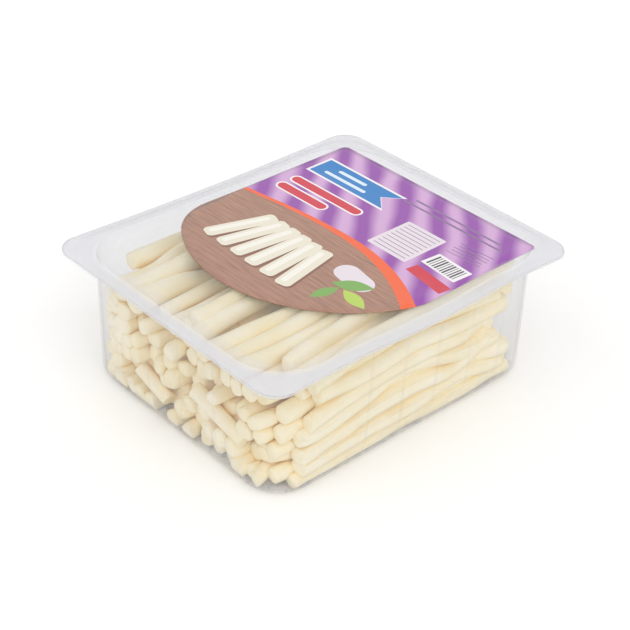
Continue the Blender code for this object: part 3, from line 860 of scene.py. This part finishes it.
def ink_materials():
    """Every ink of the print by its name."""
    own = settings()
    plain = {
        "orange": list(own.orange), "cream": linear("#E9E2D0"), "ivory": linear("#F4F0E6"),
        "shadow": linear("#8B6250"), "leaf": linear("#7FAE5B"), "lime": linear("#B9D25F"),
        "white": linear("#F3EFF0"), "blue": linear("#2F7FC4"), "ice": linear("#DCEBF5"),
        "red": linear("#D23A4B"), "pale": linear("#E6DCE3"), "rule": linear("#8D7297"),
        "black": linear("#4A4650"),
    }
    made = {"purple": ink_material("purple_ink", pattern=purple_bands),
            "brown": ink_material("brown_board_ink", pattern=board_grain)}
    made.update({name: ink_material(name + "_ink", colour) for name, colour in plain.items()})
    return made


def label_surface():
    """The label cut along every shape of the print: points, triangles and the ink of each triangle."""
    shapes = print_shapes()
    points, faces = [], []
    for _, outline in shapes:
        faces.append(list(range(len(points), len(points) + len(outline))))
        points += outline
    columns = int((LABEL_RIGHT - LABEL_LEFT) / LABEL_GRID)
    end, radius = LABEL_END
    rows = math.ceil((LABEL_TOP - end.y + radius) / LABEL_GRID)
    for column in range(1, columns):
        for row in range(1, rows):
            points.append(Vector((LABEL_LEFT + column * LABEL_GRID, LABEL_TOP - row * LABEL_GRID)))
    flat, _, triangles, _, _, origins = delaunay_2d_cdt(points, [], faces, 0, CLOSE)
    kept = [(triangle, max(origin)) for triangle, origin in zip(triangles, origins) if 0 in origin]
    return flat, [(triangle, shapes[top][0]) for triangle, top in kept]


class CHEESEPACK_OT_label(bpy.types.Operator):
    """Printed label on the film, with fields of colour and simple shapes"""

    bl_idname = "cheese_pack.label"
    bl_label = "Label"

    def execute(self, context):
        flat, triangles = label_surface()
        inks = ink_materials()
        order = list(inks)
        bm = bmesh.new()
        used = {}
        for triangle, ink in triangles:
            for index in triangle:
                if index not in used:
                    x, y = flat[index]
                    rise = TRAY_HEIGHT + LABEL_RISE + lid_height(x, y) + film_sag(x, y)
                    used[index] = bm.verts.new((x, y, rise))
            face = bm.faces.new([used[index] for index in triangle])
            face.material_index = order.index(ink)
        face_outwards(bm, 1)
        label = finish_mesh("printed_label", bm, list(inks.values()), smooth=50)
        body = label.modifiers.new("Thickness", "SOLIDIFY")
        body.thickness = LABEL_BODY
        body.offset = -1
        place_piece(label, "label")
        return {"FINISHED"}


# The sticks


def inner_side(height):
    """Where the inside of a long wall is at a height."""
    return wall_size(height)[0] - WALL


def inner_end(across, height):
    """Where the inside of an end wall, or of the corner beside it, is at this place across the tray."""
    half_width, half_length, corner = (size - WALL for size in wall_size(height))
    beyond = np.clip(np.abs(across) - (half_width - corner), 0, corner)
    return half_length - corner + np.sqrt(corner ** 2 - beyond ** 2)


def settle(places, radii, rounds, sink):
    """Pushes overlapping sections apart and keeps them in the tub as they sink."""
    floor_side = inner_side(0)
    slope = (inner_side(TRAY_HEIGHT) - floor_side) / TRAY_HEIGHT
    for _ in range(rounds):
        places[:, 1] -= sink
        for _ in range(PUSHES):
            gaps = places[:, None] - places[None]
            apart = np.sqrt((gaps ** 2).sum(2)) + 1e-9  # never 0, because it divides
            push = np.clip(radii[:, None] + radii[None] - apart, 0, None)
            np.fill_diagonal(push, 0)
            places += PUSH_SHARE * (gaps / apart[..., None] * push[..., None]).sum(1)
            room = floor_side + slope * places[:, 1] - STICK_CLEARANCE - radii
            room -= np.where(places[:, 1] < FIRST_LAYER + radii / 2, FILLET_CLEARANCE, 0)
            places[:, 0] = np.clip(places[:, 0], -room, room)
            places[:, 1] = np.clip(places[:, 1], HEAP_FLOOR + radii, HEAP_CEILING - radii)
    return places


def by_right_wall(places):
    """1 for a stick at the right wall, falling to 0 away from it."""
    return np.exp(-((inner_side(0) - places[:, 0]) / RISE_REACH) ** 2)


def pack_sticks():
    """Centres of every stick's section at each station, and the radii.

    Two columns on the left lack their top stick. By the right wall the sticks are thinner, so one more
    fits in each column, and they cross each other more, rising in the middle of their length.
    """
    draw = random.Random(SEED)
    places, radii = [], []
    for layer in range(LAYERS):
        for column in range(COLUMNS):
            if layer == LAYERS - 1 and column < LOW_COLUMNS:
                continue
            x = (column - (COLUMNS - 1) / 2) * SIDE_COLUMN_PITCH
            z = FIRST_LAYER + LAYER_PITCH * layer
            places.append((x + draw.uniform(-JITTER, JITTER), z + draw.uniform(-JITTER, JITTER)))
            radii.append(draw.uniform(*STICK_RADII))
    kept = list(range(len(places)))
    for _ in range(MISSING):
        kept.remove(draw.choice(kept[COLUMNS:]))
    places = np.array([places[index] for index in kept] + ADDED)
    radii = np.array([radii[index] for index in kept] + [ADDED_RADIUS] * len(ADDED))
    radii[places[:, 0] > THIN_FROM] *= THINNING
    places = settle(places, radii, *FIRST_SETTLE)
    stations = []
    for shake, rise in zip(SHAKES, RISES):
        phase = np.array([draw.uniform(0, 2 * math.pi) for _ in range(2)])
        shaken = np.array([(draw.gauss(0, shake), draw.gauss(0, shake)) for _ in radii])
        flow = np.sin(places / FLOW_PITCH + phase)[:, ::-1] * FLOW
        near = by_right_wall(places)
        moved = places + shaken * (1 + SIDE_SHAKE * near[:, None]) + flow
        moved[:, 1] += rise * near * np.sin(math.pi * places[:, 1] / TRAY_HEIGHT)
        stations.append(settle(moved, radii, *STATION_SETTLE))
        places += DRIFT * (stations[-1] - places)
    return np.array(stations), radii


def is_crossed(x, z, radius):
    """True if a section here would meet one of the sticks that lie across the front."""
    for (x0, z0), (x1, z1) in CROSSINGS:
        share = ((x - x0) * (x1 - x0) + (z - z0) * (z1 - z0)) / ((x1 - x0) ** 2 + (z1 - z0) ** 2)
        share = min(max(share, 0), 1)
        apart = math.hypot(x - x0 - share * (x1 - x0), z - z0 - share * (z1 - z0))
        if apart < CROSSING_RADIUS + CROSSING_REACH * radius:
            return True
    return False


def pocket_depth(x, z):
    """How far short of the front wall a stick stops here, to leave one of the holes in the front face."""
    return max(depth if math.dist((x, z), middle) < POCKET_REACH else 0 for middle, depth in POCKETS)


def stick_ends(stations, radii):
    """Where each stick starts and stops along Y. Most reach the front wall, and some stop well short."""
    draw = random.Random(SEED + 1)
    ends = []
    both = ((0, 1, FRONT_GAP, FRONT_GAP_BIAS), (-1, -2, BACK_GAP, BACK_GAP_BIAS))
    for index, radius in enumerate(radii):
        spans = []
        for last, before, (low, high), bias in both:
            reach = END_REACH * radius
            limit = min(inner_end(abs(x) + reach, z) for x, z in stations[[last, before], index])
            x, z = stations[last, index]
            if z < FIRST_LAYER + radius:
                limit += FLOOR_END_REACH
            span = limit - low - (high - low) * draw.random() ** bias
            if last == 0:
                span = min(span, limit - pocket_depth(x, z))
            if last == 0 and is_crossed(x, z, radius):
                span = min(span, abs(CROSSING_Y) - CROSSING_REACH * CROSSING_RADIUS)
            spans.append(span)
        ends.append((-spans[0], spans[1]))
    return ends


def is_on_floor(z, radius):
    """True if a stick at this height lies on the floor of the tub."""
    return z < HEAP_FLOOR + ON_FLOOR * radius


def is_by_wall(x, z, radius):
    """True if a stick here is the last one before a long wall."""
    return abs(x) > inner_side(z) - BY_WALL * radius


def is_outer(index, places, radii):
    """True if a stick shows from above, from a long side or from below."""
    x, z = places[index]
    radius = radii[index]
    if is_on_floor(z, radius) or is_by_wall(x, z, radius):
        return True
    above = places[(places[:, 1] > z + radius / 2)]
    return not (np.abs(above[:, 0] - x) < radius).any()


def smooth_line(line, ys):
    """Centres along a stick at these places, on a smooth curve through its stations."""
    stops = np.array(STATIONS)
    slopes = np.gradient(line, stops, axis=0)
    index = np.clip(np.searchsorted(stops, ys) - 1, 0, len(stops) - 2)
    span = stops[index + 1] - stops[index]
    t = ((ys - stops[index]) / span)[:, None]
    a, b = line[index], line[index + 1]
    da, db = slopes[index] * span[:, None], slopes[index + 1] * span[:, None]
    return ((2 * t ** 3 - 3 * t ** 2 + 1) * a + (t ** 3 - 2 * t ** 2 + t) * da
            + (3 * t ** 2 - 2 * t ** 3) * b + (t ** 3 - t ** 2) * db)


def stick_template(length, cuts):
    """A straight round stick along Y with rounded end rims and slightly raised ends."""
    bm = bmesh.new()
    bmesh.ops.create_cone(
        bm, cap_ends=True, segments=STICK_SIDES, radius1=STICK_RADIUS, radius2=STICK_RADIUS,
        depth=length, matrix=Matrix.Rotation(math.pi / 2, 4, "X"))
    rims = [edge for edge in bm.edges if abs(abs(edge.verts[0].co.y) - length / 2) < CLOSE
            and abs(edge.verts[0].co.y - edge.verts[1].co.y) < CLOSE]
    bmesh.ops.bevel(bm, geom=rims, offset=RIM_ROUNDING, segments=3, profile=0.5, affect="EDGES",
                    material=-1)
    for face in [face for face in bm.faces if len(face.verts) == STICK_SIDES]:
        bmesh.ops.inset_individual(bm, faces=[face], thickness=END_RISE[0], depth=END_RISE[1])
    for cut in range(1, cuts):
        place = length * (cut / cuts - 0.5)
        bmesh.ops.bisect_plane(bm, geom=bm.verts[:] + bm.edges[:] + bm.faces[:],
                               plane_co=(0, place, 0), plane_no=(0, 1, 0))
    return bm


def stick_templates():
    """Meshes of the straight long stick and of the stub, to be copied and bent."""
    meshes = []
    for length, cuts in (WHOLE_STICK, STUB):
        shape = stick_template(length, cuts)
        mesh = bpy.data.meshes.new("template")
        shape.to_mesh(mesh)
        shape.free()
        meshes.append(mesh)
    return meshes


def fillet_inset(height):
    """How far the fillet round the base stands in from the inner wall at a height."""
    bend = BASE_FILLET - WALL
    return bend * (1 - np.sqrt(1 - np.clip((BASE_FILLET - height) / bend, 0, 1) ** 2))


def press(gap, reach):
    """The gap left between soft cheese and a wall: cheese nearer than reach is drawn against it."""
    return np.clip(gap, 0, None) * np.clip(gap / reach, 0, 1)


def press_on_walls(co):
    """Flattens the places of a stick where they meet the floor, the film, the walls and the fillet."""
    floor = WALL + WALL_TOUCH
    ceiling = np.array([TRAY_HEIGHT + lid_height(x, y) + film_sag(x, y) - LID_TOUCH for x, y in co[:, :2]])
    co[:, 2] = floor + press(co[:, 2] - floor, FLOOR_PRESS)
    co[:, 2] = ceiling - press(ceiling - co[:, 2], LID_PRESS)
    inset = fillet_inset(co[:, 2]) + WALL_TOUCH
    side = inner_side(co[:, 2]) - inset
    co[:, 0] = np.sign(co[:, 0]) * (side - press(side - np.abs(co[:, 0]), SIDE_PRESS))
    end = inner_end(co[:, 0], co[:, 2]) - inset
    co[:, 1] = np.sign(co[:, 1]) * (end - press(end - np.abs(co[:, 1]), END_PRESS))


def bend_stick(bm, template, line, radius, start, end, draw, pressed=True):
    """Adds a copy of the template, squared, swollen, bent along its line and pressed flat on the walls."""
    before = len(bm.verts)
    bm.from_mesh(template)
    bm.verts.ensure_lookup_table()
    verts = bm.verts[before:]
    co = np.array([vert.co for vert in verts])
    length = co[:, 1].max() - co[:, 1].min()
    ys = start + (co[:, 1] / length + 0.5) * (end - start)
    angle = np.arctan2(co[:, 2], co[:, 0])
    reach = np.hypot(co[:, 0], co[:, 2]) / STICK_RADIUS
    turn, twist = draw.uniform(0, math.pi), draw.uniform(-TWIST, TWIST)
    squareness = draw.uniform(*SQUARENESS)
    flatness = draw.uniform(*FLATNESS)
    own = angle - turn - twist * (ys - start)
    section = 1 - squareness * np.cos(4 * own) + flatness * np.cos(2 * own)
    waves = 1.0
    for (pitch, swell), around in ((LONG_SWELL, 0), (SHORT_SWELL, 1)):
        waves = waves + swell * np.sin(ys / pitch + draw.uniform(0, SWELL_PHASES) + around * angle)
    near = np.exp(-np.minimum(ys - start, end - ys) / PINCH_LENGTH)
    pinch = 1 + draw.uniform(*PINCH) * near * np.cos(2 * (angle - turn))
    size = radius * reach * section * waves * pinch
    tilt_x, tilt_z = (draw.uniform(-END_TILT, END_TILT) for _ in range(2))
    inwards = np.where(ys < (start + end) / 2, 1, -1) * near
    ys = ys + inwards * (abs(tilt_x) + abs(tilt_z)) * radius
    ys = ys + near * (tilt_x * np.cos(angle) + tilt_z * np.sin(angle)) * size
    centre = smooth_line(line, np.clip(ys, STATIONS[0], STATIONS[-1]))
    co[:, 0] = centre[:, 0] + np.cos(angle) * size
    co[:, 1] = ys
    co[:, 2] = centre[:, 1] + np.sin(angle) * size
    if pressed:
        press_on_walls(co)
    for vert, place in zip(verts, co):
        vert.co = place


def add_crossing(bm, template, start, end, radius, draw):
    """A stick that has slipped down and lies across the front of the others."""
    (x0, z0), (x1, z1) = start, end
    before = len(bm.verts)
    straight = np.zeros((len(STATIONS), 2))
    span = math.hypot(x1 - x0, z1 - z0)
    bend_stick(bm, template, straight, radius, -span / 2, span / 2, draw, pressed=False)
    bm.verts.ensure_lookup_table()
    along = Vector((x1 - x0, 0, z1 - z0)).normalized()
    aside = Vector((0, 1, 0))
    above = aside.cross(along)
    middle = Vector(((x0 + x1) / 2, CROSSING_Y, (z0 + z1) / 2))
    for vert in bm.verts[before:]:
        x, y, z = vert.co
        vert.co = middle + along * y + aside * x + above * -z


def make_core(bm, top_line):
    """The plain block inside the heap, its top following the sticks that lie on it."""
    made = bmesh.ops.create_grid(bm, x_segments=CORE_COLUMNS, y_segments=2, size=1)
    width = inner_side(TRAY_HEIGHT / 2) - CORE_INSET
    for vert in made["verts"]:
        vert.co.x *= width
        vert.co.y *= CORE_HALF_LENGTH
        vert.co.z = float(np.interp(vert.co.x, *top_line))
    top = list({face for vert in made["verts"] for face in vert.link_faces})
    skirt = bmesh.ops.extrude_face_region(bm, geom=top)
    for vert in (item for item in skirt["geom"] if isinstance(item, bmesh.types.BMVert)):
        vert.co.z = HEAP_FLOOR + CORE_INSET
    bmesh.ops.recalc_face_normals(bm, faces=list({f for v in made["verts"] for f in v.link_faces}))


class CHEESEPACK_OT_sticks(bpy.types.Operator):
    """Cheese sticks that fill the tub, over a plain core"""

    bl_idname = "cheese_pack.sticks"
    bl_label = "Cheese sticks"

    def execute(self, context):
        fullness = settings().stick_fullness
        stations, radii = pack_sticks()
        ends = stick_ends(stations, radii)
        middle = stations[len(STATIONS) // 2]
        outer = [any(is_outer(i, places, radii) for places in stations[1:-1]) for i in range(len(radii))]
        tops = sorted((x, z) for i, (x, z) in enumerate(middle) if is_outer(i, middle, radii)
                      and z > TRAY_HEIGHT / 2 and not is_by_wall(x, z, radii[i]))
        top_line = ([x for x, z in tops], [z - CORE_UNDER_TOPS for x, z in tops])
        whole, stub = templates = stick_templates()
        draw = random.Random(SEED + 2)
        bm = bmesh.new()
        make_core(bm, top_line)
        root = CORE_HALF_LENGTH - STUB_ROOT
        for index, radius in enumerate(radii):
            line = stations[:, index]
            start, end = ends[index]
            size = radius * fullness
            if outer[index]:
                bend_stick(bm, whole, line, size, start, end, draw)
                continue
            if start < -root:
                bend_stick(bm, stub, line, size, start, -root, draw)
            if end > root:
                bend_stick(bm, stub, line, size, root, end, draw)
        for start, end in CROSSINGS:
            add_crossing(bm, whole, start, end, CROSSING_RADIUS, draw)
        for mesh in templates:
            bpy.data.meshes.remove(mesh)
        cheese = cheese_material(list(settings().cheese))
        sticks = finish_mesh("cheese_sticks_whole", bm, [cheese], smooth=60)
        place_piece(sticks, "cheese_sticks")
        return {"FINISHED"}


# The stage


def aim(place, target):
    """A turn that points an object's -Z from its place to a target."""
    return (Vector(target) - Vector(place)).to_track_quat("-Z", "Y").to_euler()


def add_soft_sun(name, place, strength, spread):
    """A broad even light from one side, as a large softbox far away gives."""
    lamp = bpy.data.lights.new(name, "SUN")
    lamp.energy = strength
    lamp.angle = math.radians(spread)
    light = bpy.data.objects.new(name, lamp)
    light.location = place
    light.rotation_euler = aim(place, (0, 0, 0))
    bpy.context.scene.collection.objects.link(light)


def add_camera():
    """The photograph's camera: its direction, distance, roll and lens."""
    az, el, roll = CAMERA_AZIMUTH, CAMERA_ELEVATION, CAMERA_ROLL
    back = Vector((math.sin(az) * math.cos(el), -math.cos(az) * math.cos(el), math.sin(el)))
    right = Vector((math.cos(az), math.sin(az), 0))
    up = back.cross(right)
    place = right * CAMERA_AIM[0] + up * CAMERA_AIM[1] + back * CAMERA_DISTANCE
    side = right * math.cos(roll) + up * math.sin(roll)
    top = up * math.cos(roll) - right * math.sin(roll)
    lens = bpy.data.cameras.new("camera")
    lens.sensor_width = SENSOR_MM
    lens.lens = SENSOR_MM * CAMERA_FOCAL_SHARE
    lens.clip_start = CAMERA_NEAR
    camera = bpy.data.objects.new("camera", lens)
    camera.matrix_world = Matrix((
        (side.x, top.x, back.x, place.x),
        (side.y, top.y, back.y, place.y),
        (side.z, top.z, back.z, place.z),
        (0, 0, 0, 1)))
    bpy.context.scene.collection.objects.link(camera)
    bpy.context.scene.camera = camera


class CHEESEPACK_OT_stage(bpy.types.Operator):
    """Pale floor, soft studio light and the photograph's camera"""

    bl_idname = "cheese_pack.stage"
    bl_label = "Stage"

    def execute(self, context):
        scene = context.scene
        bm = bmesh.new()
        bmesh.ops.create_grid(bm, x_segments=1, y_segments=1, size=FLOOR_REACH)
        bmesh.ops.translate(bm, verts=bm.verts[:], vec=(0, 0, -FLOOR_DROP))
        material, tree = empty_material("white_sweep")
        paper = add_node(tree, "ShaderNodeBsdfPrincipled", {
            "Base Color": (*linear("#FEFEFE"), 1), "Roughness": 0.9, "Metallic": 0.0,
            "Specular IOR Level": 0.1})
        add_node(tree, "ShaderNodeOutputMaterial", {"Surface": paper.outputs["BSDF"]})
        floor = finish_mesh("floor", bm, [material])
        world = bpy.data.worlds.new("studio")
        world.use_nodes = True
        sky = next(node for node in world.node_tree.nodes if node.type == "BACKGROUND")
        sky.inputs["Color"].default_value = (*linear("#FFFFFF"), 1)
        sky.inputs["Strength"].default_value = SKY_STRENGTH
        scene.world = world
        add_soft_sun("key", *KEY_SUN)
        add_soft_sun("fill", *FILL_SUN)
        add_camera()
        scene.view_settings.view_transform = "Standard"
        scene.cycles.transparent_max_bounces = 32
        scene.cycles.max_bounces = 16
        scene.cycles.diffuse_bounces = 10
        return {"FINISHED"}


class CHEESEPACK_PT_panel(bpy.types.Panel):
    """Lists the pack's settings and pieces"""

    bl_idname = "CHEESEPACK_PT_panel"
    bl_label = "Cheese pack"
    bl_space_type = "VIEW_3D"
    bl_region_type = "UI"
    bl_category = "Cheese pack"

    def draw(self, context):
        for name in CheesePackSettings.__annotations__:
            self.layout.prop(context.scene.cheese_pack, name)
        for operator in OPERATORS:
            self.layout.operator(operator.bl_idname)


OPERATORS = (CHEESEPACK_OT_tray, CHEESEPACK_OT_film, CHEESEPACK_OT_label, CHEESEPACK_OT_sticks,
             CHEESEPACK_OT_stage)
CLASSES = (CheesePackSettings, *OPERATORS, CHEESEPACK_PT_panel)


def register():
    for item in CLASSES:
        bpy.utils.register_class(item)
    bpy.types.Scene.cheese_pack = bpy.props.PointerProperty(type=CheesePackSettings)


def unregister():
    del bpy.types.Scene.cheese_pack
    for item in reversed(CLASSES):
        bpy.utils.unregister_class(item)


def main():
    register()
    bpy.ops.cheese_pack.stage()
    bpy.ops.cheese_pack.tray()
    bpy.ops.cheese_pack.film()
    bpy.ops.cheese_pack.label()
    bpy.ops.cheese_pack.sticks()


if __name__ == "__main__":
    main()
